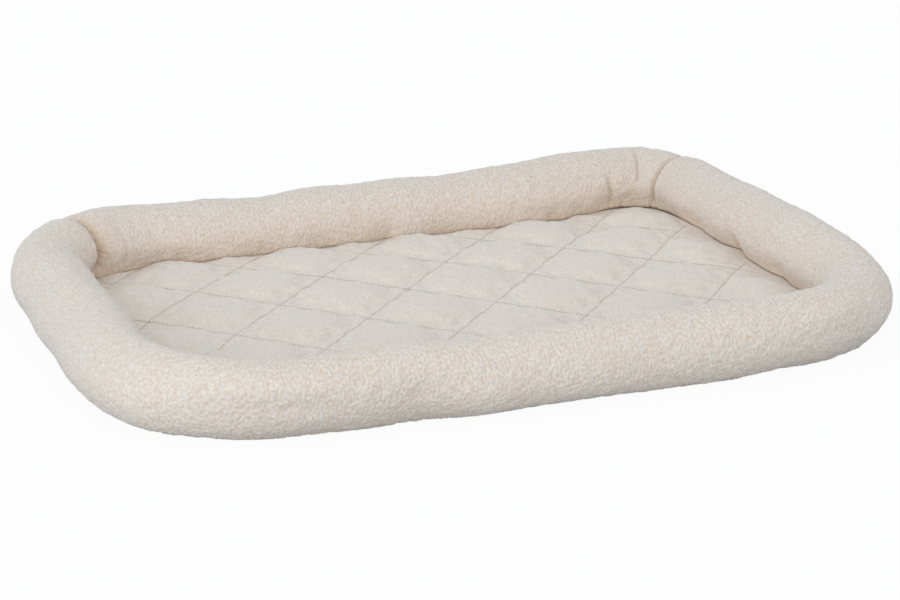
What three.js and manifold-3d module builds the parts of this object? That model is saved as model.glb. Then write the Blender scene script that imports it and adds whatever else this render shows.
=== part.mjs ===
// A bolstered pet cushion bed: a quilted pad with a stuffed roll of sheepskin-pile fleece sewn round its edge.
//
// Millimetres, +Z up. The bed lies flat on z = 0 with the middle of its footprint at the origin.
// +X runs along the bed's length and +Y towards the side that stands against a wall.
//
// The bed is sewn from these pieces:
//   bolster_cover      one strip of fleece, wrapped round the stuffing, with its two ends joined at one corner
//   bolster_fill       the loose polyester fibre that the strip is stuffed with
//   pad_top_panel      the fleece that the animal lies on
//   pad_batting        the wadding under it
//   pad_bottom_panel   the plain woven cloth under the wadding
//   threads            needle thread above and bobbin thread below the edge seam and each quilting row,
//                      and one thread that closes the joint between the strip's ends
import * as THREE from "three";
import { mergeVertices } from "three/addons/utils/BufferGeometryUtils.js";
import Module from "manifold-3d";

// Driving dimensions of the whole bed
const bedLength = 740;
const bedWidth = 545;
// Plan radius of each corner, at the bolster's outermost line. The strip's ends meet at the tightest one.
const cornerRadius = { backRight: 95, backLeft: 150, frontLeft: 168, frontRight: 150 };
const tightestCorner = 12; // no line inside the bed turns tighter than this

// Bolster, as a section across the roll
const bolsterWidth = 66;
const bolsterHeight = 65;
const rollSettle = 4; // how much of the round is pressed flat where the roll stands
const rollSquareness = 2.2; // 2 is an ellipse, and more is squarer
const fleeceThickness = 5; // knitted backing and pile together
const endSeamWidth = 1.2; // the joint between the strip's two ends
const endSeamTurn = 28; // how far round the back right corner the joint lies from the right side, in degrees

// Edge seam, where the pad runs in between the strip's two edges
const seamHeight = 8.7;
const seamLip = 4; // how far the pad's edge runs on past the fleece, into the roll
const crushedTopPanel = 2.4;
const crushedBatting = 1.2;
const crushedBottomPanel = 0.6;

// Pad layers, as thick as they lie in the middle
const padTopHeight = 17;
const topPanelThickness = 4;
const bottomPanelThickness = 0.8;
const padFootClearance = 0.3; // from the floor to the lowest thread
const padShoulder = 34; // how far in from its seam the pad takes to reach its full thickness

// Stitching
const threadThickness = 0.6;
const quiltPitch = 89; // between neighbouring rows of one direction, measured square to them
const quiltAngle = 46; // of the rows to the bed's length, in degrees
const risingPhase = 44.5; // from the bed's middle to the first row that rises towards +X
const fallingPhase = 12;
const shortestRow = 60;

const clearance = 0.3; // between pieces that touch

// Facets
const rollPoints = 24;
const cornerSteps = 6;
const shoulderSteps = 4;

const wasm = await Module();
wasm.setup();

const bed = new THREE.Group();
const threads = new THREE.Group();
bed.add(threads);

const finish = (color, roughness) => new THREE.MeshStandardMaterial({ color, roughness, metalness: 0 });
const fleece = finish(0xe6dccf, 0.95);
const padFleece = finish(0xe2d8cd, 0.95);
const fibre = finish(0xf2f0ec, 1);
const wovenCloth = finish(0xdcd6cc, 0.9);
const sewingThread = finish(0xd8c7ad, 0.7);

// The bed's outline in plan, moved in by inset: four straight sides and four round corners, anticlockwise.
function outline(inset) {
  const x = bedLength / 2 - inset;
  const y = bedWidth / 2 - inset;
  const corners = [
    [1, 1, cornerRadius.backRight],
    [-1, 1, cornerRadius.backLeft],
    [-1, -1, cornerRadius.frontLeft],
    [1, -1, cornerRadius.frontRight],
  ];
  return corners.flatMap(([sideX, sideY, radius], quarter) => {
    const r = Math.max(radius - inset, tightestCorner);
    const start = (quarter * Math.PI) / 2;
    const arc = new THREE.EllipseCurve(sideX * (x - r), sideY * (y - r), r, r, start, start + Math.PI / 2);
    return arc.getPoints(cornerSteps);
  });
}

// Every point { inset, z } of a section runs right round the bed at its own distance in from the edge.
// The section is drawn anticlockwise, seen with the bed's outside to the right.
// A closed section makes a ring. An open one starts and ends on a flat face across the middle of the bed.
function roundTheBed(section, { closed }) {
  const loops = section.map(({ inset, z }) => outline(inset).map((p) => new THREE.Vector3(p.x, p.y, z)));
  const around = loops[0].length;
  const index = [];
  const bands = closed ? loops.length : loops.length - 1;
  for (let i = 0; i < bands; i++) {
    const here = i * around;
    const next = ((i + 1) % loops.length) * around;
    for (let j = 0; j < around; j++) {
      const k = (j + 1) % around;
      index.push(here + j, here + k, next + k, here + j, next + k, next + j);
    }
  }
  if (!closed) {
    const last = (loops.length - 1) * around;
    const faceOf = (loop) => THREE.ShapeUtils.triangulateShape(loop.map((p) => new THREE.Vector2(p.x, p.y)), []);
    faceOf(loops[0]).forEach(([a, b, c]) => index.push(a, c, b));
    faceOf(loops.at(-1)).forEach(([a, b, c]) => index.push(last + a, last + b, last + c));
  }
  const geometry = new THREE.BufferGeometry().setFromPoints(loops.flat());
  geometry.setIndex(index);
  return solid(geometry);
}

// Booleans
function solid(geometry) {
  const bare = geometry.clone();
  bare.deleteAttribute("normal");
  bare.deleteAttribute("uv");
  const merged = mergeVertices(bare, 1e-4);
  const mesh = new wasm.Mesh({
    numProp: 3,
    vertProperties: merged.attributes.position.array,
    triVerts: new Uint32Array(merged.index.array),
  });
  return new wasm.Manifold(mesh);
}

function addPiece(name, piece, material, group = bed) {
  const { vertProperties, triVerts } = piece.getMesh();
  const geometry = new THREE.BufferGeometry();
  geometry.setAttribute("position", new THREE.BufferAttribute(vertProperties, 3));
  geometry.setIndex(new THREE.BufferAttribute(triVerts, 1));
  geometry.computeVertexNormals();
  const mesh = new THREE.Mesh(geometry, material);
  mesh.name = name;
  group.add(mesh);
}

// The roll's section is a squarish ellipse that reaches rollSettle below the floor and is flat where it stands.
const rollHalfWidth = bolsterWidth / 2;
const rollHalfHeight = (bolsterHeight + rollSettle) / 2;
const rollMiddle = bolsterHeight - rollHalfHeight;

// The roll shrunk by depth all round.
function roll(depth) {
  const alongAxis = (share, half) => Math.sign(share) * Math.abs(share) ** (2 / rollSquareness) * (half - depth);
  const section = [];
  for (let i = 0; i < rollPoints; i++) {
    const angle = (i / rollPoints) * 2 * Math.PI;
    const z = rollMiddle + alongAxis(Math.sin(angle), rollHalfHeight);
    section.push({ inset: rollHalfWidth - alongAxis(Math.cos(angle), rollHalfWidth), z: Math.max(z, depth) });
  }
  return roundTheBed(section, { closed: true });
}

// How far in from the bed's outermost line the roll's inner side reaches at a height.
function rollReach(z) {
  const share = Math.abs((z - rollMiddle) / rollHalfHeight) ** rollSquareness;
  return rollHalfWidth + rollHalfWidth * (1 - share) ** (1 / rollSquareness);
}

// Edge seam: the pad's three layers lie crushed in a slit that runs right round the roll.
const crushedPad = crushedTopPanel + crushedBatting + crushedBottomPanel + 2 * clearance;
const crushedFloor = seamHeight - crushedPad / 2;
const crushedRoof = seamHeight + crushedPad / 2;
const padEdgeInset = rollReach(seamHeight) - fleeceThickness - seamLip;
const slit = roundTheBed(
  [
    { inset: padEdgeInset - clearance, z: crushedFloor - clearance },
    { inset: padEdgeInset - clearance, z: crushedRoof + clearance },
    { inset: bolsterWidth, z: crushedRoof + clearance },
    { inset: bolsterWidth, z: crushedFloor - clearance },
  ],
  { closed: true },
);

// End joint: the strip's two ends meet at the back right corner, square to the roll.
function acrossTheJoint(width) {
  const reach = 2 * cornerRadius.backRight;
  const slab = new THREE.BoxGeometry(reach, width, 3 * bolsterHeight);
  slab.translate(reach / 2, 0, 0);
  slab.rotateZ(THREE.MathUtils.degToRad(endSeamTurn));
  slab.translate(bedLength / 2 - cornerRadius.backRight, bedWidth / 2 - cornerRadius.backRight, 0);
  return solid(slab);
}

// Bolster
const wrappedStrip = roll(0).subtract(roll(fleeceThickness)).subtract(slit);
addPiece("bolster_cover", wrappedStrip.subtract(acrossTheJoint(endSeamWidth)), fleece);
addPiece("bolster_fill", roll(fleeceThickness + clearance).subtract(slit), fibre);

const threadDepth = (fleeceThickness - threadThickness) / 2;
const threadInStrip = roll(threadDepth).subtract(roll(threadDepth + threadThickness)).subtract(slit);
addPiece("end_joint_thread", threadInStrip.intersect(acrossTheJoint(threadThickness)), sewingThread, threads);

// Pad. A face of a layer lies level in the seam's grip, then changes over the shoulder to its level in the middle.
const edgeThreadRoof = crushedRoof + clearance + threadThickness;
const edgeThreadInset = rollReach(edgeThreadRoof) + clearance;
const grooveStart = edgeThreadInset + threadThickness + clearance;
const rowStart = grooveStart + clearance;
const gripEnd = rowStart + clearance;
const padUnderside = padFootClearance + 2 * (threadThickness + clearance);

function padFace(inSeam, inMiddle, start = padEdgeInset) {
  const face = [{ inset: start, z: inSeam }];
  for (let i = 0; i <= shoulderSteps; i++) {
    const share = i / shoulderSteps;
    const z = THREE.MathUtils.lerp(inSeam, inMiddle, THREE.MathUtils.smoothstep(share, 0, 1));
    face.push({ inset: gripEnd + share * padShoulder, z });
  }
  return face;
}

function padLayer(under, over) {
  return roundTheBed([...under.toReversed(), ...over], { closed: false });
}

// Each quilting row is a slab that stands across the whole bed. Threads and their grooves are cut from it.
function rowsOf(direction, phase) {
  const turn = THREE.MathUtils.degToRad(direction * quiltAngle);
  const reach = Math.hypot(bedLength, bedWidth);
  const firstCount = -Math.ceil(reach / 2 / quiltPitch);
  const rows = [];
  for (let count = firstCount; count <= -firstCount; count++) {
    const aside = phase + count * quiltPitch;
    rows.push((width) => {
      const slab = new THREE.BoxGeometry(reach, width, 3 * bolsterHeight);
      slab.translate(0, aside, 0);
      slab.rotateZ(turn);
      return solid(slab);
    });
  }
  return rows;
}

// A thread lies in a thin layer that follows a pad face at its own depth, so that crossing rows pass each other.
const threadStep = threadThickness + clearance;
function thinLayer(inSeam, inMiddle, thickness, start) {
  return padLayer(padFace(inSeam, inMiddle, start), padFace(inSeam + thickness, inMiddle + thickness, start));
}

const threadLayer = (inSeam, inMiddle) => thinLayer(inSeam, inMiddle, threadThickness, rowStart);

let topPanel = padLayer(
  padFace(crushedRoof - crushedTopPanel, padTopHeight - topPanelThickness),
  padFace(crushedRoof, padTopHeight),
);
const directions = [
  { name: "rising", rows: rowsOf(1, risingPhase), passes: 1 },
  { name: "falling", rows: rowsOf(-1, fallingPhase), passes: 0 },
];
for (const { name, rows, passes } of directions) {
  const needleDepth = passes * threadStep + threadThickness;
  const needleFloor = -(passes * threadStep + threadThickness);
  const needleLayer = threadLayer(crushedRoof + needleFloor, padTopHeight + needleFloor);
  const grooveFloor = needleFloor - clearance;
  const grooveLayer = thinLayer(
    crushedRoof + grooveFloor,
    padTopHeight + grooveFloor,
    clearance - grooveFloor,
    grooveStart,
  );
  const bobbinFloor = -(passes + 1) * threadStep;
  const bobbinLayer = threadLayer(crushedFloor + bobbinFloor, padUnderside + bobbinFloor);
  let number = 0;
  for (const row of rows) {
    const needleThread = row(threadThickness).intersect(needleLayer);
    const rowLength = needleThread.volume() / threadThickness ** 2;
    if (rowLength < shortestRow) continue;
    number += 1;
    addPiece(`${name}_row_${number}_needle_thread`, needleThread, sewingThread, threads);
    addPiece(`${name}_row_${number}_bobbin_thread`, row(threadThickness).intersect(bobbinLayer), sewingThread, threads);
    topPanel = topPanel.subtract(row(threadThickness + 2 * clearance).intersect(grooveLayer));
  }
}
addPiece("pad_top_panel", topPanel, padFleece);

const battingRoof = padTopHeight - topPanelThickness - clearance;
const battingFloor = padUnderside + bottomPanelThickness + clearance;
const crushedBattingFloor = crushedFloor + crushedBottomPanel + clearance;
addPiece(
  "pad_batting",
  padLayer(
    padFace(crushedBattingFloor, battingFloor),
    padFace(crushedBattingFloor + crushedBatting, battingRoof),
  ),
  fibre,
);
addPiece(
  "pad_bottom_panel",
  padLayer(
    padFace(crushedFloor, padUnderside),
    padFace(crushedFloor + crushedBottomPanel, padUnderside + bottomPanelThickness),
  ),
  wovenCloth,
);

// Edge seam threads: a square thread right round the pad, above it in the crease and below it.
function edgeThread(z) {
  return roundTheBed(
    [
      { inset: edgeThreadInset, z },
      { inset: edgeThreadInset, z: z + threadThickness },
      { inset: edgeThreadInset + threadThickness, z: z + threadThickness },
      { inset: edgeThreadInset + threadThickness, z },
    ],
    { closed: true },
  );
}
addPiece("edge_seam_needle_thread", edgeThread(crushedRoof + clearance), sewingThread, threads);
addPiece("edge_seam_bobbin_thread", edgeThread(crushedFloor - threadStep), sewingThread, threads);

export default bed;
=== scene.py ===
import math
import bmesh
import bpy
import numpy as np
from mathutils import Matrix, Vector
from mathutils.bvhtree import BVHTree


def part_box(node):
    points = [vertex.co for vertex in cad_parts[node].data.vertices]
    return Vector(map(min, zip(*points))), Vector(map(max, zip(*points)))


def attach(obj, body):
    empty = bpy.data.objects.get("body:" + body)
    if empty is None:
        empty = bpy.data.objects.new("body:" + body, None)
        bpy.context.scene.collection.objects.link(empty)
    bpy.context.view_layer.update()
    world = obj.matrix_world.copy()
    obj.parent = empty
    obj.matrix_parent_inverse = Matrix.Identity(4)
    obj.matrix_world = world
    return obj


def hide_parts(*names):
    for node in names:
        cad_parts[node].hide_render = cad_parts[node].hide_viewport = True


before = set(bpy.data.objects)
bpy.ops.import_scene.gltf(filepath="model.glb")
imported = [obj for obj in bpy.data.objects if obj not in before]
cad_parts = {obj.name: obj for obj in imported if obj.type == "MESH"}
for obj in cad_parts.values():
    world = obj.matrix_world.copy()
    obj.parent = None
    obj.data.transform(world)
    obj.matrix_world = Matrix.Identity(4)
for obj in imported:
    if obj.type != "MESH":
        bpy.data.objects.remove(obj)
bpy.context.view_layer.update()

# Pad: a fleece top and its wadding, quilted in diamonds to a woven backing and sewn to the roll at its edge.
# The bed's plan has straight sides and four round corners, each with its own radius. Every piece is laid out
# by how far in from that outermost line it lies.
bed_low, bed_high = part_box("bolster_cover")
half_length = (bed_high[0] - bed_low[0]) / 2
half_width = (bed_high[1] - bed_low[1]) / 2
corner_radius = {(1, 1): 0.095, (-1, 1): 0.150, (-1, -1): 0.168, (1, -1): 0.150}  # by the sides it joins


def edge_inset(x, y):
    """How far in from the outermost line each point lies, and the way out from it."""
    side_x, side_y = np.where(x < 0, -1, 1), np.where(y < 0, -1, 1)
    radius = np.vectorize(lambda a, b: corner_radius[a, b])(side_x, side_y)
    from_x = np.abs(x) - (half_length - radius)
    from_y = np.abs(y) - (half_width - radius)
    reach = np.hypot(from_x, from_y) + 1e-12
    in_corner = (from_x > 0) & (from_y > 0)
    by_x = half_length - np.abs(x) < half_width - np.abs(y)
    to_side = np.minimum(half_length - np.abs(x), half_width - np.abs(y))
    inset = np.where(in_corner, radius - reach, to_side)
    out_x = np.where(in_corner, from_x / reach, by_x * 1.0) * side_x
    out_y = np.where(in_corner, from_y / reach, 1.0 - by_x) * side_y
    return inset, out_x, out_y


def sewn_rows(direction):
    """The two ends of each row of lockstitch, from the box that its thread fills from corner to corner."""
    rows = {}
    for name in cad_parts:
        if name.startswith(direction) and name.endswith("needle_thread"):
            low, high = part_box(name)
            first, last = (low[1], high[1]) if direction == "rising" else (high[1], low[1])
            rows[name] = (Vector((low[0], first)), Vector((high[0], last)))
    return rows


rising_rows, falling_rows = sewn_rows("rising"), sewn_rows("falling")


def lattice_of(rows):
    """The way across these rows, the offset of the first one and the pitch between them."""
    start, end = max(rows.values(), key=lambda ends: (ends[1] - ends[0]).length)
    along = (end - start).normalized()
    across = Vector((-along.y, along.x))
    offsets = sorted(across.dot((a + b) / 2) for a, b in rows.values())
    return np.array(across), offsets[0], (offsets[-1] - offsets[0]) / (len(offsets) - 1)


rising_across, rising_first, quilt_pitch = lattice_of(rising_rows)
falling_across, falling_first, _ = lattice_of(falling_rows)


def rows_away(x, y):
    """How far each point is from the nearest row of each direction."""
    found = []
    for across, first in ((rising_across, rising_first), (falling_across, falling_first)):
        rows = (across[0] * x + across[1] * y - first) / quilt_pitch
        found.append(np.abs(rows - np.round(rows)) * quilt_pitch)
    return found


# The top is one cloth, cut a little larger than the pad, whose spare puffs up between the rows. It is
# simulated with its rows and its edge held.
pad_edge_inset = 0.0565
pad_edge_top = 0.0092
pad_row_top = 0.0118
pad_puff_top = 0.0158
pad_shoulder = 0.050  # how far in the crushed edge reaches
pad_edge_held = 0.004
pad_cells = 20  # across one quilted diamond
on_row = 0.0005  # nearer to a row than this, the cloth is sewn down
cloth_steps = 20


def lay_out_pad(name, cells):
    """A flat cloth whose threads run along the quilting rows, trimmed to the pad's edge."""
    reach = math.ceil(math.hypot(half_length, half_width) / quilt_pitch) + 1
    across = 2 * reach * cells
    cut = bmesh.new()
    bmesh.ops.create_grid(cut, x_segments=across, y_segments=across, size=reach * quilt_pitch)
    to_plan = np.linalg.inv(np.array([rising_across, falling_across]))
    middle_rows = np.round(np.array([-rising_first, -falling_first]) / quilt_pitch) * quilt_pitch
    offsets = np.array([v.co.xy for v in cut.verts]) + middle_rows + [rising_first, falling_first]
    plan = offsets @ to_plan.T
    for vert, (x, y) in zip(cut.verts, plan):
        vert.co = (x, y, 0)
    inset, _, _ = edge_inset(plan[:, 0], plan[:, 1])
    cut.verts.index_update()
    outside = [f for f in cut.faces if min(inset[v.index] for v in f.verts) < pad_edge_inset]
    bmesh.ops.delete(cut, geom=outside, context="FACES")
    for vert in cut.verts:
        if vert.is_boundary:
            inset, out_x, out_y = edge_inset(np.array([vert.co.x]), np.array([vert.co.y]))
            vert.co += Vector((out_x[0], out_y[0], 0)) * (inset[0] - pad_edge_inset)
    cut.normal_update()
    cut.faces.ensure_lookup_table()
    if cut.faces[0].normal.z < 0:
        bmesh.ops.reverse_faces(cut, faces=cut.faces)
    return new_piece(name, cut)


def new_piece(name, made):
    mesh = bpy.data.meshes.new(name)
    made.to_mesh(mesh)
    made.free()
    piece = bpy.data.objects.new(name, mesh)
    bpy.context.scene.collection.objects.link(piece)
    return piece


def points_of(mesh):
    places = np.empty(len(mesh.vertices) * 3, np.float32)
    mesh.vertices.foreach_get("co", places)
    return places.reshape(-1, 3).astype(float)


def move_points(mesh, places):
    mesh.vertices.foreach_set("co", places.astype(np.float32).ravel())
    mesh.update()


def smooth_step(share):
    share = np.clip(share, 0, 1)
    return share * share * (3 - 2 * share)


def simulate_cloth(piece, held, pressure, spare, stiffness, bending, farthest, cut_as=None):
    """Runs the cloth with its held points fixed, and keeps the result, each point moved at most farthest."""
    start = points_of(piece.data)
    group = piece.vertex_groups.new(name="held")
    group.add([int(i) for i in np.flatnonzero(held)], 1.0, "REPLACE")
    cloth = piece.modifiers.new("cloth", "CLOTH")
    cloth.settings.quality = 6
    cloth.settings.mass = 0.25
    cloth.settings.tension_stiffness = stiffness
    cloth.settings.compression_stiffness = stiffness
    cloth.settings.shear_stiffness = stiffness / 3
    cloth.settings.bending_stiffness = bending
    cloth.settings.shrink_min = -spare
    cloth.settings.vertex_group_mass = "held"
    cloth.settings.use_pressure = True
    cloth.settings.uniform_pressure_force = pressure
    cloth.settings.effector_weights.gravity = 0
    if cut_as is not None:
        piece.shape_key_add(name="worn")
        flat_cut = piece.shape_key_add(name="cut")
        flat_cut.data.foreach_set("co", cut_as.astype(np.float32).ravel())
        cloth.settings.rest_shape_key = flat_cut
    cloth.point_cache.frame_start = 1
    cloth.point_cache.frame_end = cloth_steps
    for step in range(1, cloth_steps + 1):
        bpy.context.scene.frame_set(step)
    settled = points_of(piece.evaluated_get(bpy.context.evaluated_depsgraph_get()).data)
    piece.modifiers.remove(cloth)
    if cut_as is not None:
        piece.shape_key_clear()
    piece.vertex_groups.clear()
    bpy.context.scene.frame_set(1)
    move = settled - start
    far = np.linalg.norm(move, axis=1, keepdims=True)
    move_points(piece.data, start + move * np.minimum(1, farthest / np.maximum(far, 1e-9)))


def make_finer(piece, levels):
    """Puts the smooth surface that the cloth's points describe in place of the cloth."""
    finer = piece.modifiers.new("finer", "SUBSURF")
    finer.levels = finer.render_levels = levels
    smooth = bpy.data.meshes.new_from_object(piece.evaluated_get(bpy.context.evaluated_depsgraph_get()))
    piece.modifiers.remove(finer)
    piece.data = smooth
    return points_of(smooth)


pad = lay_out_pad("quilted_pad", pad_cells)
flat = points_of(pad.data)
inset, _, _ = edge_inset(flat[:, 0], flat[:, 1])
from_rising, from_falling = rows_away(flat[:, 0], flat[:, 1])
shoulder = smooth_step((inset - pad_edge_inset) / pad_shoulder)
row_level = pad_edge_top + (pad_row_top - pad_edge_top) * shoulder
puff = np.sin(np.pi * from_rising / quilt_pitch) * np.sin(np.pi * from_falling / quilt_pitch)
puffed = (pad_puff_top - pad_row_top) * shoulder * np.sqrt(np.clip(puff, 0, 1))
move_points(pad.data, np.column_stack([flat[:, :2], row_level + puffed]))
sewn = (np.minimum(from_rising, from_falling) < on_row) | (inset < pad_edge_inset + pad_edge_held)
simulate_cloth(pad, sewn, pressure=1.6, spare=0.03, stiffness=12, bending=0.3, farthest=0.006)


# The fleece's fibres are felted into small curls. The surface carries them as real relief, and how high a
# point lies in its curl is kept with the mesh for the finish to read.
pad_curl_pitch = 0.0026
pad_curl_height = 0.0005
pad_lump_pitch = 0.014  # the wadding's small lumps under the cloth
pad_lump_height = 0.0003
pad_combed_from, pad_combed_over = 0.060, 0.004  # the pile starts this far in, past the seam
row_reach = 0.003  # the pile lies flat this near to a row
# How far from a row the painted shade along it reaches.
row_shadow_reach = 0.0022


def curls(places, pitch, seed, flattened=(1, 1, 1), waves=90):
    """A smooth random relief about 1 high: waves of nearly one pitch that cross at random."""
    draw = np.random.default_rng(seed)
    ways = draw.normal(size=(waves, 3))
    lengths = np.linalg.norm(ways, axis=1, keepdims=True)
    ways *= 2 * np.pi / pitch * draw.normal(1, 0.14, (waves, 1)) / lengths
    phases = draw.uniform(0, 2 * np.pi, waves)
    relief = np.zeros(len(places), np.float32)
    for way, phase in zip((ways * flattened).astype(np.float32), phases.astype(np.float32)):
        relief += np.cos(places.astype(np.float32) @ way + phase)
    return relief.astype(float) / math.sqrt(waves / 2)


def ways_out(mesh):
    normals = np.empty(len(mesh.vertices) * 3, np.float32)
    mesh.vertex_normals.foreach_get("vector", normals)
    return normals.reshape(-1, 3).astype(float)


def keep_on_mesh(mesh, name, values):
    mesh.attributes.new(name, "FLOAT", "POINT").data.foreach_set("value", values.astype(np.float32))


seam_pinches = (  # where a row of quilting ends, the seam is drawn out by this much, over this width
    (0.310, 0.030, 0.0075, 0.0, 0.015),
    (0.310, -0.060, 0.0040, 0.0, 0.013),
    (0.308, 0.110, 0.0030, 0.0, 0.012),
    (0.256, 0.208, 0.0, 0.0040, 0.012),
    (0.225, 0.209, 0.0, 0.0035, 0.010),
    (0.015, 0.206, 0.0, 0.0035, 0.014),
    (-0.214, 0.206, 0.0, 0.0040, 0.014),
)
seam_drop_at_back, seam_rise_at_right = 0.0036, 0.0034


def settle_seam(places):
    """The seam lies lower along the back and higher on the right, and all that meets there follows it."""
    x, y, z = places.T
    at_back = smooth_step((y - 0.09) / 0.09) * (1 - smooth_step((x - 0.20) / 0.10))
    at_right = smooth_step((x - 0.22) / 0.08) * (1 - smooth_step((y - 0.13) / 0.07))
    near_seam = smooth_step(z / 0.008) * (1 - smooth_step((z - 0.014) / 0.030))
    settled = places.copy()
    settled[:, 2] += (seam_rise_at_right * at_right - seam_drop_at_back * at_back) * near_seam
    for pinch_x, pinch_y, draw_x, draw_y, width in seam_pinches:
        drawn = np.exp(-((x - pinch_x) ** 2 + (y - pinch_y) ** 2) / width**2) * near_seam
        settled[:, 0] += draw_x * drawn
        settled[:, 1] += draw_y * drawn
    return settled


def map_corners(mesh, name, placed):
    """Lays the surface out flat on a map of its own, where placed() says that each corner goes."""
    corners = np.empty(len(mesh.loops), np.int32)
    mesh.loops.foreach_get("vertex_index", corners)
    flat_map = mesh.uv_layers.get(name) or mesh.uv_layers.new(name=name)
    flat_map.data.foreach_set("uv", placed(corners).astype(np.float32).ravel())


pad_valleys = (  # where the pad folds down to its seam: both ends of the fold, its depth and its half width
    ((-0.288, 0.04), (-0.22, -0.065), 0.0035, 0.012),
    ((0.208, 0.147), (0.296, 0.176), 0.0030, 0.012),
)
places = settle_seam(make_finer(pad, 2))
for start, end, depth, width in pad_valleys:
    start, reach = np.array(start), np.subtract(end, start)
    share = np.clip((places[:, :2] - start) @ reach / (reach @ reach), 0, 1)
    away = np.linalg.norm(places[:, :2] - start - share[:, None] * reach, axis=1)
    places[:, 2] -= depth * np.exp(-((away / width) ** 2))
move_points(pad.data, places)
faces = [tuple(face.vertices) for face in pad.data.polygons]
pad_surface = BVHTree.FromPolygons([Vector(place) for place in places], faces)
inset, _, _ = edge_inset(places[:, 0], places[:, 1])
from_rising, from_falling = rows_away(places[:, 0], places[:, 1])
from_row = np.minimum(from_rising, from_falling)
pile = smooth_step((curls(places, pad_curl_pitch, seed=11) + 1.2) / 2)
past_seam = smooth_step((inset - pad_combed_from) / pad_combed_over)
combed = past_seam * (0.25 + 0.75 * smooth_step(from_row / row_reach))
lift = pad_curl_height * (pile - 0.6) + pad_lump_height * curls(places, pad_lump_pitch, seed=12, waves=40)
# The finish turns low points of the pile toward its recess colour, partly the pile's own tone and partly
# painted shade. Near the rows and the seam the pile value is lowered, so the colour leans that way there
# too.
keep_on_mesh(pad.data, "pile", pile * combed)
# The 'row' attribute is painted shade along the quilting rows, which the finish mixes toward its shadow
# colour.
keep_on_mesh(pad.data, "row", smooth_step(1 - from_row / row_shadow_reach) * past_seam)
move_points(pad.data, places + ways_out(pad.data) * (lift * combed)[:, None])


class Shade:
    """A number, colour or vector in a material, so that its maths is written as an expression."""

    def __init__(self, tree, socket=None):
        self.tree, self.socket = tree, socket

    def make(self, kind, settings=None, output=0, **inputs):
        """Adds a node of this kind. An input is named, or i and its number, and is a value or a Shade."""
        node = self.tree.nodes.new(kind)
        for name, value in (settings or {}).items():
            setattr(node, name, value)
        for name, value in inputs.items():
            number = name[1:]
            socket = node.inputs[int(number) if number.isdigit() else name.replace("_", " ")]
            if isinstance(value, Shade):
                self.tree.links.new(value.socket, socket)
            else:
                socket.default_value = value
        return Shade(self.tree, node.outputs[output] if node.outputs else None)

    def maths(self, operation, first, second):
        return self.make("ShaderNodeMath", {"operation": operation}, i0=first, i1=second)

    def __add__(self, other):
        return self.maths("ADD", self, other)

    def __sub__(self, other):
        return self.maths("SUBTRACT", self, other)

    def __mul__(self, other):
        return self.maths("MULTIPLY", self, other)

    def between(self, low, high):
        """The colour this far from low to high."""
        return self.make("ShaderNodeMix", {"data_type": "RGBA"}, output=2, i0=self, i6=low, i7=high)

    __radd__ = __add__  # for sum()


def new_finish(name):
    material = bpy.data.materials.new(name)
    material.use_nodes = True
    material.node_tree.nodes.clear()
    return material, Shade(material.node_tree)


def fleece(name, tip, recess_tone_and_shade, shadow, shadow_share, curl_pitch, curl_relief):
    """Curled pile: pale tips, recesses darker by the pile's own tone and by painted shade, painted warm
    shade at seams and wherever the mesh's 'row' attribute marks it, fine curls as bump, a soft sheen.
    """
    material, shade = new_finish(name)
    places = shade.make("ShaderNodeTexCoord", output=3)
    cloth = shade.make("ShaderNodeUVMap", {"uv_map": "cloth"})
    pile = shade.make("ShaderNodeAttribute", {"attribute_name": "pile"}, output=2)
    # 'row' carries painted shade: along the pad's quilting rows, and at the roll's foot, in its creases and
    # on its inner side.
    row = shade.make("ShaderNodeAttribute", {"attribute_name": "row"}, output=2)
    combed = shade.make("ShaderNodeVectorMath", {"operation": "MULTIPLY"}, i0=cloth, i1=(1.0, 0.7, 1.0))
    curl = shade.make("ShaderNodeTexNoise", Vector=combed, Scale=1 / curl_pitch, Detail=1.5, Distortion=0.6)
    blotch = shade.make("ShaderNodeTexNoise", Vector=places, Scale=38.0, Detail=3.0)
    high = pile * 0.35 + (curl - 0.5) * 3.4 + (blotch - 0.5) * 0.4 + 0.35
    # The lower a point lies in its curl, the more it takes the recess colour: partly the pile's own tone,
    # partly painted shade in the hollows.
    colour = high.between(recess_tone_and_shade, tip)
    # Painted shade: where the 'row' attribute is set, the colour is mixed toward the warm shadow colour.
    colour = (row * shadow_share).between(colour, shadow)
    bump = shade.make("ShaderNodeBump", Strength=1.0, Distance=curl_relief, Height=curl)
    surface = shade.make(
        "ShaderNodeBsdfPrincipled",
        Base_Color=colour,
        Roughness=0.95,
        Normal=bump,
        IOR=1.35,
        Sheen_Weight=0.5,
        Sheen_Roughness=0.45,
        Sheen_Tint=(0.93, 0.97, 1.0, 1.0),
    )
    shade.make("ShaderNodeOutputMaterial", Surface=surface)
    return material


pad.data.materials.clear()
# The pad's shadow colour is painted shade along its quilting rows.
pad_finish = fleece(
    "pad_fleece",
    tip=(0.855, 0.795, 0.735, 1),
    recess_tone_and_shade=(0.80, 0.71, 0.62, 1),
    shadow=(0.50, 0.41, 0.31, 1),
    shadow_share=0.16,
    curl_pitch=0.0021,
    curl_relief=0.0005,
)
pad.data.materials.append(pad_finish)


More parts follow.
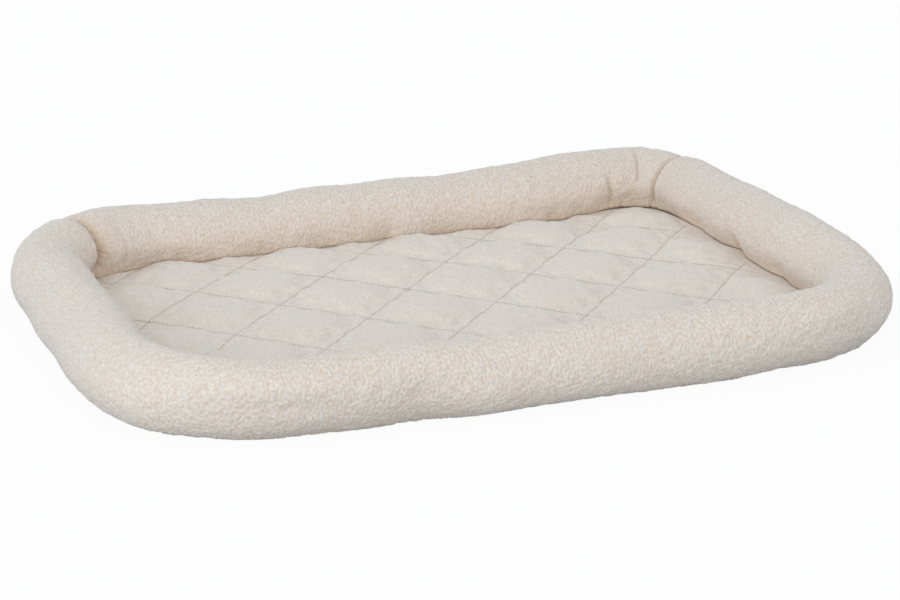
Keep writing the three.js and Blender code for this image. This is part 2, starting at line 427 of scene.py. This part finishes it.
def close_underneath(piece, steps):
    """Carries the open rim down and in, step by step, then closes it with one face."""
    made = bmesh.new()
    made.from_mesh(piece.data)
    rim = [e for e in made.edges if e.is_boundary]
    for move_in, level in steps:
        grown = bmesh.ops.extrude_edge_only(made, edges=rim)["geom"]
        rim = [g for g in grown if isinstance(g, bmesh.types.BMEdge)]
        verts = [g for g in grown if isinstance(g, bmesh.types.BMVert)]
        _, out_x, out_y = edge_inset(*np.array([v.co.xy for v in verts]).T)
        for vert, x, y in zip(verts, out_x, out_y):
            vert.co = (vert.co.x - x * move_in, vert.co.y - y * move_in, level)
    bmesh.ops.contextual_create(made, geom=rim)
    bmesh.ops.recalc_face_normals(made, faces=made.faces)
    made.to_mesh(piece.data)
    made.free()


# The wadding fills the pad down to the backing: straight down at the edge that the seam crushes, then
# sloping in and down to its full depth.
wadding_steps = ((0, 0.0068), (0.012, 0.0062), (0.024, 0.0046))  # how much further in, and the level
top_points = len(pad.data.vertices)
close_underneath(pad, wadding_steps)
under_points = points_of(pad.data)


def pad_map(corners):
    """The top fills two thirds of the map, and what lies underneath is drawn small above it."""
    share = under_points[corners, :2] / (2 * half_length) + 0.5
    under = np.zeros(len(corners), bool)
    start = 0
    for face in pad.data.polygons:
        stop = start + face.loop_total
        under[start:stop] = (corners[start:stop] >= top_points).any()
        start = stop
    share[:, 1] -= 0.5 - half_width / (2 * half_length)
    share[under] = share[under] * 0.3 + [0.02, 0.76]
    return share


map_corners(pad.data, "OFBake", pad_map)
map_corners(pad.data, "cloth", lambda corners: under_points[corners, :2])
pad.data.shade_smooth()
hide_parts("pad_top_panel", "pad_batting")
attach(pad, "root")


# Backing: one sheet of plain-woven polyester under the pad, sewn in at its edge and quilted with it. It
# sags towards the floor between the rows, and is simulated as the pad's top is.
backing_edge = 0.0060
backing_row = 0.0042
backing_low = 0.0014
backing_thickness = 0.0006
backing_clearance = 0.0007  # above the floor
wave_turn = 20  # radians that a wave texture turns per unit of its scale

backing = lay_out_pad("pad_backing", pad_cells // 2)
flat = points_of(backing.data)
inset, _, _ = edge_inset(flat[:, 0], flat[:, 1])
from_rising, from_falling = rows_away(flat[:, 0], flat[:, 1])
shoulder = smooth_step((inset - pad_edge_inset) / pad_shoulder)
row_level = backing_edge + (backing_row - backing_edge) * shoulder
puff = np.sin(np.pi * from_rising / quilt_pitch) * np.sin(np.pi * from_falling / quilt_pitch)
sagged = (backing_low - backing_row) * shoulder * np.sqrt(np.clip(puff, 0, 1))
move_points(backing.data, np.column_stack([flat[:, :2], row_level + sagged]))
sewn = (np.minimum(from_rising, from_falling) < on_row) | (inset < pad_edge_inset + pad_edge_held)
simulate_cloth(backing, sewn, pressure=-0.6, spare=0.015, stiffness=12, bending=0.1, farthest=0.001)
places = settle_seam(make_finer(backing, 1))
places[:, 2] = np.maximum(places[:, 2], backing_clearance + backing_thickness)
move_points(backing.data, places)
faces = [tuple(face.vertices) for face in backing.data.polygons]
backing_surface = BVHTree.FromPolygons([Vector(place) for place in places], faces)
share = places[:, :2] / (2 * half_length, 2 * half_width) + 0.5
map_corners(backing.data, "OFBake", lambda corners: share[corners])
thick = backing.modifiers.new("thick", "SOLIDIFY")
thick.thickness = backing_thickness
thick.offset = -1
backing.data.shade_smooth()


def plain_weave(name, colour, gap_colour, thread_pitch):
    """Two sets of threads that cross at right angles, with a darker gap between them."""
    material, shade = new_finish(name)
    places = shade.make("ShaderNodeTexCoord", output=3)
    threads = {"Vector": places, "Scale": 2 * math.pi / thread_pitch / wave_turn, "Distortion": 0.4}
    warp = shade.make("ShaderNodeTexWave", {"bands_direction": "X"}, output=1, **threads)
    weft = shade.make("ShaderNodeTexWave", {"bands_direction": "Y"}, output=1, **threads)
    slub = shade.make("ShaderNodeTexNoise", Vector=places, Scale=120.0, Detail=4.0)
    relief = warp * weft + slub * 0.4
    bump = shade.make("ShaderNodeBump", Strength=0.6, Distance=0.0003, Height=relief)
    surface = shade.make(
        "ShaderNodeBsdfPrincipled",
        Base_Color=relief.between(gap_colour, colour),
        Roughness=0.85,
        Normal=bump,
        Sheen_Weight=0.1,
    )
    shade.make("ShaderNodeOutputMaterial", Surface=surface)
    return material


backing.data.materials.append(
    plain_weave("woven_backing", (0.72, 0.68, 0.62, 1), (0.50, 0.46, 0.40, 1), thread_pitch=0.0009)
)
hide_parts("pad_bottom_panel")
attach(backing, "root")


# Roll: one strip of fleece wrapped round loose polyester fibre, with both of its edges sewn to the pad's and
# its two ends sewn together at the back right corner. It is cut longer than the line it is sewn to, so at
# each corner its spare cloth gathers on the inner side.
roll_width = 0.066
roll_height = bed_high[2]
roll_settle = 0.0015  # how much of the round is pressed flat where the roll stands
corner_ease = 0.016  # spare cloth at a corner: it is cut for a radius this much larger
joint_turn = math.radians(28)  # how far round the back right corner the strip's two ends meet
slot_inset = 0.0515  # where the strip's two edges meet inside the roll
slot_low, slot_high = 0.0050, 0.0098  # the pad's edge lies between these levels
seam_allowance = 0.0085  # of the strip's edges, inside the slot
joint_held = 0.003
strip_rows, strip_columns = 54, 570


def corner_line(inset, turns_per_corner=48):
    """Points and ways out of a line round the bed, this far in, anticlockwise from the end joint."""
    line = []
    sides = [(1, 1), (-1, 1), (-1, -1), (1, -1), (1, 1)]
    for corner, side in enumerate(sides):
        first = joint_turn if corner == 0 else 0
        last = joint_turn if corner == 4 else math.pi / 2
        radius = corner_radius[side]
        centre = (side[0] * (half_length - radius), side[1] * (half_width - radius))
        for turn in np.linspace(first, last, turns_per_corner):
            angle = corner * math.pi / 2 + turn
            out = (math.cos(angle), math.sin(angle))
            reach = radius - inset
            line.append([centre[0] + out[0] * reach, centre[1] + out[1] * reach, *out])
    return np.array(line)


def cut_lengths(line, ease):
    """How far along the flat strip each point of the line lies: a corner takes the cloth of a wider one."""
    step = np.hypot(*np.diff(line[:, :2], axis=0).T)
    sines = line[:-1, 2] * line[1:, 3] - line[:-1, 3] * line[1:, 2]
    turn = np.abs(np.arcsin(np.clip(sines, -1, 1)))
    return np.concatenate([[0], np.cumsum(step + turn * ease)])


def roll_section():
    """The strip's way round the roll, out from its middle line and up, and its length at each point."""
    half_w, half_h = roll_width / 2, (roll_height + roll_settle) / 2
    middle = roll_height - half_h
    angles = np.linspace(0, 2 * np.pi, 721)
    out = -np.cos(angles) * half_w
    up = middle - np.sin(angles) * half_h
    on_lower = (angles < np.pi / 2) & (up < slot_low)
    on_upper = (angles > np.pi) & (out < 0) & (up < slot_high)
    after = (angles > np.pi / 2) | on_lower
    round_it = np.column_stack([out, np.maximum(up, 0)])[after & ~on_upper]
    root = half_w - slot_inset
    low_lip = [[root, (slot_low + slot_high) / 2], [root, slot_low + 0.0004], [root - 0.004, slot_low]]
    high_lip = [[root - 0.004, slot_high], [root, slot_high - 0.0004], [root, (slot_low + slot_high) / 2]]
    section = np.array([*low_lip, *round_it, *high_lip])
    return section, np.concatenate([[0], np.cumsum(np.hypot(*np.diff(section, axis=0).T))])


line = corner_line(roll_width / 2)
along_line = cut_lengths(line, corner_ease)
section, round_section = roll_section()
strip_length, strip_width = along_line[-1], round_section[-1]

cut = bmesh.new()
bmesh.ops.create_grid(cut, x_segments=strip_columns, y_segments=strip_rows, size=0.5)
roll = new_piece("bolster_roll", cut)
share = points_of(roll.data)[:, :2] + 0.5
along, across = share[:, 0] * strip_length, share[:, 1] * strip_width
keep_on_mesh(roll.data, "along", along)
keep_on_mesh(roll.data, "across", across)


def on_stretch(along, start, stop, fade=0.08):
    """1 from start to stop along the strip, and fading to 0 past them."""
    return smooth_step((along - start) / fade + 0.5) * smooth_step((stop - along) / fade + 0.5)


worn_leans = (  # how far the roll's inner foot leans in over the pad, from where to where along the strip
    (0.0085, 0.13, 0.66),
    (0.001, strip_length - 0.33, strip_length - 0.07),
)
worn_spreads = (  # how far its outer foot spreads, or is tucked under
    (0.0045, 0.78, 1.12),
    (-0.010, 1.17, 1.36),
    (-0.006, 1.66, 1.75),
)


def worn(along, across, height_share, width_share):
    """Where each point of the flat strip lies once it is wrapped round and sewn in."""
    x, y, out_x, out_y = (np.interp(along, along_line, line[:, i]) for i in range(4))
    size = np.hypot(out_x, out_y)
    out = np.interp(across, round_section, section[:, 0]) * width_share
    up = np.interp(across, round_section, section[:, 1]) * height_share
    leans = sum(amount * on_stretch(along, start, stop) for amount, start, stop in worn_leans)
    inner_low = smooth_step(-out / 0.020) * (1 - smooth_step((up - 0.030) / 0.030))
    spreads = sum(amount * on_stretch(along, start, stop) for amount, start, stop in worn_spreads)
    outer_low = smooth_step(out / 0.020) * (1 - smooth_step((up - 0.030) / 0.025))
    out = out - leans * inner_low * smooth_step((up - slot_high) / 0.002) + spreads * outer_low
    return np.column_stack([x + out * out_x / size, y + out * out_y / size, up]), out, up


def from_place(along, where):
    """How far each point is from a place along the strip, either way round the bed."""
    return np.abs((along - where + strip_length / 2) % strip_length - strip_length / 2)


def dip(along, where, width):
    """1 at a place along the strip, falling to 0 over the width on either side."""
    return np.exp(-((from_place(along, where) / width) ** 2))


# Loose fibre shifts, so the roll is worn lower in places: all along the back, in the front and next to the
# joint, where the seam holds it down. It is plumpest on the right side.
slack_along_back = 0.17
slack_elsewhere = (
    (0.05, 1.42, 0.22),
    (0.06, strip_length - 0.065, 0.035),
    (-0.10, strip_length - 0.22, 0.10),
)
roll_slack = slack_along_back * smooth_step((along - 0.09) / 0.2) * (1 - smooth_step((along - 0.53) / 0.16))
for amount, where, width in slack_elsewhere:
    roll_slack += amount * dip(along, where, width)
above_seam = smooth_step((np.interp(across, round_section, section[:, 1]) - slot_high) / 0.02)
worn_places, out, up = worn(along, across, 1 - roll_slack * above_seam, 1.0)
move_points(roll.data, worn_places)
in_slot = (across < seam_allowance) | (across > strip_width - seam_allowance)
at_joint = (along < joint_held) | (along > strip_length - joint_held)
at_foot = up < 0.0005
simulate_cloth(
    roll,
    in_slot | at_joint | at_foot,
    pressure=3.0,
    spare=0.0,
    stiffness=10,
    bending=0.5,
    farthest=0.008,
    cut_as=np.column_stack([along, across, np.zeros(len(along))]),
)


def read_from_mesh(mesh, name):
    values = np.empty(len(mesh.vertices), np.float32)
    mesh.attributes[name].data.foreach_get("value", values)
    return values.astype(float)


places = make_finer(roll, 2)
along, across = (read_from_mesh(roll.data, name) for name in ("along", "across"))

# The roll's pile is longer than the pad's, and its curls lie across the roll.
roll_curl_pitch = 0.0034
roll_curl_height = 0.0006
curl_flatness = 0.72
clump_pitch, clump_height = 0.013, 0.0002
stuffing_pitch, stuffing_height = 0.085, 0.0008
_, out_x, out_y = edge_inset(places[:, 0], places[:, 1])
along_x, along_y = np.abs(out_y), np.abs(out_x)
relief = along_x * curls(places, roll_curl_pitch, seed=21, flattened=(1, curl_flatness, curl_flatness))
relief += along_y * curls(places, roll_curl_pitch, seed=22, flattened=(curl_flatness, 1, curl_flatness))
relief /= np.hypot(along_x, along_y)
pile = smooth_step((relief + 1.1) / 1.7)
from_slot = np.minimum(across, strip_width - across)
free = smooth_step((from_slot - seam_allowance) / 0.003)
lift = roll_curl_height * (pile - 0.62) + clump_height * curls(places, clump_pitch, seed=23, waves=40)
lift += stuffing_height * curls(places, stuffing_pitch, seed=24, waves=40)
lift *= free


def strip_place(x, y):
    """How far along the strip lies the part of it that is nearest to a point of the plan."""
    steps = np.linspace(0, strip_length, 4000)
    from_x = np.interp(steps, along_line, line[:, 0]) - x
    from_y = np.interp(steps, along_line, line[:, 1]) - y
    return steps[np.argmin(np.hypot(from_x, from_y))]


climb = strip_width - across  # how far up the cloth from its inner seam each point lies


def crease(where, low, high, depth, width, slant=0.0):
    """How far each point of the roll folds in at a crease that climbs from low to high along the cloth."""
    middle = where + slant * (climb - low)
    away = from_place(along, middle)
    span = smooth_step((climb - low) / 0.008 + 0.5) * (1 - smooth_step((climb - high) / 0.02 + 0.5))
    return depth * np.exp(-((away / width) ** 1.3)) * span


# Where the seam gathers the roll's cloth, it folds in. A crease starts at the inner seam or a little above
# it and climbs the roll: the fold of the end joint, two darts beside it, a pinch and its two pleats on the
# right, and the deep fold at the back left corner, which is wide with a sharp bottom.
seam_climb = 0.010
joint_place = 0.012
right_fold, left_fold = strip_place(0.337, 0.0305), strip_place(-0.2952, 0.2121)
creases = (  # where along the strip, from which climb to which, depth, width, slant
    (joint_place, seam_climb, 0.21, 0.0080, 0.0045, -0.20),
    (strip_place(0.266, 0.24), seam_climb, 0.042, 0.007, 0.0030, 0.20),
    (strip_place(0.303, 0.232), 0.038, 0.076, 0.0048, 0.0028, 0.12),
    (right_fold, seam_climb, 0.026, 0.002, 0.006, 0.0),
    (strip_place(0.337, 0.0400), 0.014, 0.040, 0.002, 0.0025, 0.1),
    (strip_place(0.337, 0.0230), 0.014, 0.040, 0.002, 0.0025, -0.1),
    (left_fold, seam_climb, 0.098, 0.010, 0.0120, -0.10),
    (left_fold, seam_climb, 0.085, 0.011, 0.0034, -0.10),
)
folds = sum(crease(*one) for one in creases)

gathers_per_corner = 6
onto_roll = 1.05  # out from the end of a row of quilting to the roll
corner_gathers = ((-1, 1, 112, 162), (-1, -1, 196, 254), (1, -1, 288, 344))  # corner, first and last turn
draw = np.random.default_rng(31)
for side_x, side_y, first_turn, last_turn in corner_gathers:
    radius = corner_radius[side_x, side_y]
    for turn in np.radians(np.linspace(first_turn, last_turn, gathers_per_corner)):
        middle_x = side_x * (half_length - radius) + math.cos(turn) * (radius - roll_width / 2)
        middle_y = side_y * (half_width - radius) + math.sin(turn) * (radius - roll_width / 2)
        top = draw.uniform(0.030, 0.055)
        where = strip_place(middle_x, middle_y) + draw.uniform(-0.003, 0.003)
        depth = draw.uniform(0.0015, 0.003)
        folds += crease(where, seam_climb, top, depth, 0.004, draw.uniform(-0.15, 0.15))
for row_ends in (*rising_rows.values(), *falling_rows.values()):
    for stop in row_ends:
        where = strip_place(stop.x * onto_roll, stop.y * onto_roll)
        folds += crease(where, seam_climb, 0.024, draw.uniform(0.0008, 0.0022), 0.007)
lift -= folds
# The finish turns low points of the pile toward its recess colour, partly the pile's own tone and partly
# painted shade.
keep_on_mesh(roll.data, "pile", pile * free)

# Painted shade lies at the roll's foot and in its creases, and a little on its whole inner side. It is kept
# as the 'row' attribute, which the finish mixes toward its warm shadow colour.
foot = smooth_step(1 - (climb - 0.009) / 0.014)
inner_side = smooth_step(1 - (climb - 0.010) / 0.070)
shadow = np.maximum(np.maximum(foot, 0.28 * inner_side), smooth_step(folds / 0.011))
keep_on_mesh(roll.data, "row", shadow)
places = settle_seam(places + ways_out(roll.data) * lift[:, None])

# The roll's inner foot rests on the pad: it settles most of the way down wherever the gap is small.
foot_from, foot_to = 0.007, 0.034
pressed_in = 0.0004
widest_gap = 0.0095
look_from = Vector((0, 0, 0.003))
for number in np.flatnonzero((climb > foot_from) & (climb < foot_to)):
    below = pad_surface.ray_cast(Vector(places[number]) + look_from, Vector((0, 0, -1)))[0]
    if below is not None:
        gap = places[number, 2] - below.z + pressed_in
        places[number, 2] -= gap * (1 - float(smooth_step(gap / widest_gap)))
places[:, 2] = np.maximum(places[:, 2], 0)
move_points(roll.data, places)


def strip_map(corners):
    """The long strip is laid out as three rows, one above the other."""
    rows = 3
    share = np.column_stack([along / strip_length, across / strip_width])[corners]
    faces = share.reshape(-1, 4, 2)
    row = np.clip(np.floor(faces[:, :, 0].mean(axis=1) * rows), 0, rows - 1)
    faces[:, :, 0] = faces[:, :, 0] * rows - row[:, None]
    faces[:, :, 1] = (faces[:, :, 1] * 0.98 + 0.01 + row[:, None]) / rows
    return faces.reshape(-1, 2)


map_corners(roll.data, "OFBake", strip_map)
map_corners(roll.data, "cloth", lambda corners: np.column_stack([along, across])[corners])


def join_edges(number, far_end, other):
    """Brings the strip's first and last points together, each with the one that lies across from it."""
    near, far = (np.flatnonzero(np.abs(number - end) < 1e-6) for end in (0, far_end))
    near, far = near[np.argsort(other[near])], far[np.argsort(other[far])]
    places[near] = places[far] = (places[near] + places[far]) / 2


# Both edges of the strip meet in the slot and both ends meet at the joint.
join_edges(along, strip_length, across)
join_edges(across, strip_width, along)
move_points(roll.data, places)
sewn_up = bmesh.new()
sewn_up.from_mesh(roll.data)
bmesh.ops.remove_doubles(sewn_up, verts=[v for v in sewn_up.verts if v.is_boundary], dist=0.00001)
sewn_up.to_mesh(roll.data)
sewn_up.free()
roll.data.shade_smooth()
# The roll's shadow colour is painted shade at its foot, in its creases and on its inner side.
roll_finish = fleece(
    "roll_fleece",
    tip=(0.83, 0.785, 0.738, 1),
    recess_tone_and_shade=(0.75, 0.63, 0.52, 1),
    shadow=(0.74, 0.56, 0.41, 1),
    shadow_share=0.60,
    curl_pitch=0.0021,
    curl_relief=0.0009,
)
roll.data.materials.clear()
roll.data.materials.append(roll_finish)
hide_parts("bolster_cover", "bolster_fill")
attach(roll, "root")


# Stitches: twisted polyester thread, lockstitched through the pad and round the edge seam, with each stitch
# sunk in the cloth at both ends. The end joint is sewn from inside, so its stitches lie within the roll.
thread_radius = 0.00035
stitch_length = 0.0036
stitch_pitch = 0.0044
stitch_ends = (0.1, 0.9)  # of the pitch


def twisted_thread(name, colour, groove_colour):
    material, shade = new_finish(name)
    places = shade.make("ShaderNodeTexCoord", output=3)
    twist = shade.make("ShaderNodeTexNoise", Vector=places, Scale=1500.0, Detail=2.0)
    bump = shade.make("ShaderNodeBump", Strength=0.5, Distance=0.0001, Height=twist)
    base = twist.between(groove_colour, colour)
    surface = shade.make("ShaderNodeBsdfPrincipled", Base_Color=base, Roughness=0.6, Normal=bump)
    shade.make("ShaderNodeOutputMaterial", Surface=surface)
    return material


thread_finish = twisted_thread("sewing_thread", (0.68, 0.60, 0.51, 1), (0.52, 0.44, 0.35, 1))


def sew(name, node, stitches):
    """One row of stitches, each given by its middle and the way it lies."""
    one = bmesh.new()
    bmesh.ops.create_uvsphere(one, u_segments=6, v_segments=5, radius=1)
    shape = np.array([v.co for v in one.verts]) * (thread_radius, thread_radius, stitch_length / 2)
    corners = [np.array([v.index for v in face.verts]) for face in one.faces]
    one.free()
    points, faces = [], []
    for number, (middle, way) in enumerate(stitches):
        turn = np.array(way.to_track_quat("Z", "Y").to_matrix())
        points.append(shape @ turn.T + np.array(middle))
        faces += [(face + number * len(shape)).tolist() for face in corners]
    mesh = bpy.data.meshes.new(name)
    mesh.from_pydata(np.concatenate(points).tolist(), [], faces)
    piece = bpy.data.objects.new(name, mesh)
    bpy.context.scene.collection.objects.link(piece)
    mesh.shade_smooth()
    mesh.materials.append(thread_finish)
    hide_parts(node)
    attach(piece, "root")


def stitches_on(start, end, surface, side):
    """Stitches along a straight row, laid on the cloth's surface from above (1) or below (-1)."""
    count = int((end - start).length / stitch_pitch)
    down = Vector((0, 0, -side))
    found = []
    for number in range(count):
        pair = []
        for part in stitch_ends:
            spot = start.lerp(end, (number + part) / count)
            hit = surface.ray_cast(Vector((spot.x, spot.y, side * 0.05)), down)[0]
            pair.append(hit + Vector((0, 0, side * thread_radius * 0.5)))
        found.append(((pair[0] + pair[1]) / 2, pair[1] - pair[0]))
    return found


for node, (start, end) in {**rising_rows, **falling_rows}.items():
    sew(node.replace("thread", "stitches"), node, stitches_on(start, end, pad_surface, 1))
    bobbin = node.replace("needle", "bobbin")
    sew(bobbin.replace("thread", "stitches"), bobbin, stitches_on(start, end, backing_surface, -1))


def stitches_round(inset, level):
    path = corner_line(inset)
    length = cut_lengths(path, 0)
    count = int(length[-1] / stitch_pitch)
    found = []
    for number in range(count):
        spots = (number + np.array(stitch_ends)) / count * length[-1]
        x, y = (np.interp(spots, length, path[:, i]) for i in (0, 1))
        first, last = (Vector(end) for end in settle_seam(np.column_stack([x, y, [level, level]])))
        found.append(((first + last) / 2, last - first))
    return found


seam_inset = pad_edge_inset + 0.002
over_pad = stitches_round(seam_inset, pad_edge_top + thread_radius)
under_backing = stitches_round(seam_inset, backing_edge - thread_radius)
sew("edge_seam_needle_stitches", "edge_seam_needle_thread", over_pad)
sew("edge_seam_bobbin_stitches", "edge_seam_bobbin_thread", under_backing)

joint_stitches = []
joint_from = 0.012  # along the joint, clear of the edge seam
under_cover = 0.97  # of the roll's height and width
inside_roll = 0.24  # of the way from there to the roll's middle line
roll_middle = Vector((line[0, 0], line[0, 1], roll_height / 2))
for spot in np.arange(joint_from, strip_width - joint_from, stitch_pitch):
    both = np.array([spot, spot + stitch_length])
    near_cover, _, _ = worn(np.zeros(2), both, under_cover, under_cover)
    first, last = (Vector(end).lerp(roll_middle, inside_roll) for end in near_cover)
    joint_stitches.append(((first + last) / 2, last - first))
sew("end_joint_stitches", "end_joint_thread", joint_stitches)


# Studio: a white floor and surround, a warm soft light from the front and a cooler one from the left. None
# of it belongs to the bed.
view_azimuth, view_elevation = math.radians(-21.33), math.radians(18.76)
view_distance = 2.271
view_target = Vector((-0.0082, -0.0299, 0.0222))
sensor_width, lens = 36.0, 100.74

camera = bpy.data.objects.new("camera", bpy.data.cameras.new("camera"))
back_off = Vector((
    math.sin(view_azimuth) * math.cos(view_elevation),
    -math.cos(view_azimuth) * math.cos(view_elevation),
    math.sin(view_elevation),
))
camera.location = view_target + back_off * view_distance
camera.rotation_euler = (-back_off).to_track_quat("-Z", "Y").to_euler()
camera.data.sensor_width = sensor_width
camera.data.lens = lens
camera.data.clip_start, camera.data.clip_end = 0.05, 50
bpy.context.scene.collection.objects.link(camera)
bpy.context.scene.camera = camera


def soft_light(name, colour, power, size, place):
    """A square lamp that faces the bed's middle."""
    lamp = bpy.data.lights.new(name, "AREA")
    lamp.energy, lamp.size = power, size
    lamp.color = colour
    light = bpy.data.objects.new(name, lamp)
    light.location = place
    light.rotation_euler = (-light.location).to_track_quat("-Z", "Y").to_euler()
    bpy.context.scene.collection.objects.link(light)


light_size = 1.8
soft_light("front", (1.0, 0.96, 0.92), power=29.5, size=light_size, place=(-1.5, -2.95, 1.25))
soft_light("left", (0.84, 0.93, 1.0), power=14.5, size=light_size, place=(-3.1, -0.9, 1.1))

white = (1.0, 1.0, 1.0, 1.0)
surround = bpy.data.worlds.new("surround")
surround.use_nodes = True
surround.node_tree.nodes.clear()
sky = Shade(surround.node_tree)
shown_to = ("Is Camera Ray", "Is Glossy Ray", "Is Transmission Ray")
seen = sum(sky.make("ShaderNodeLightPath", output=ray) for ray in shown_to)
lit = sky.make("ShaderNodeBackground", Color=(0.945, 0.975, 1.0, 1), Strength=0.73)
shown = sky.make("ShaderNodeBackground", Color=white, Strength=1.0)
sky.make("ShaderNodeOutputWorld", Surface=sky.make("ShaderNodeMixShader", i0=seen, i1=lit, i2=shown))
bpy.context.scene.world = surround

floor_level = -0.0005
floor_reach = 6
paper_share = 0.94  # the rest of the floor that is seen takes shadows
ground = bmesh.new()
bmesh.ops.create_grid(ground, x_segments=1, y_segments=1, size=floor_reach)
floor = new_piece("studio_floor", ground)
floor_finish, shade = new_finish("studio_floor")
seen = sum(shade.make("ShaderNodeLightPath", output=ray) for ray in shown_to)
bounce = shade.make("ShaderNodeBsdfDiffuse", Color=(0.58, 0.585, 0.59, 1))
card = shade.make("ShaderNodeBsdfDiffuse", Color=(0.9, 0.9, 0.9, 1))
paper = shade.make("ShaderNodeEmission", Color=white, Strength=1.0)
backdrop = shade.make("ShaderNodeMixShader", i0=paper_share, i1=card, i2=paper)
shown_floor = shade.make("ShaderNodeMixShader", i0=seen, i1=bounce, i2=backdrop)
shade.make("ShaderNodeOutputMaterial", Surface=shown_floor)
floor.data.materials.append(floor_finish)
floor.location.z = floor_level
bpy.context.scene.view_settings.view_transform = "Standard"
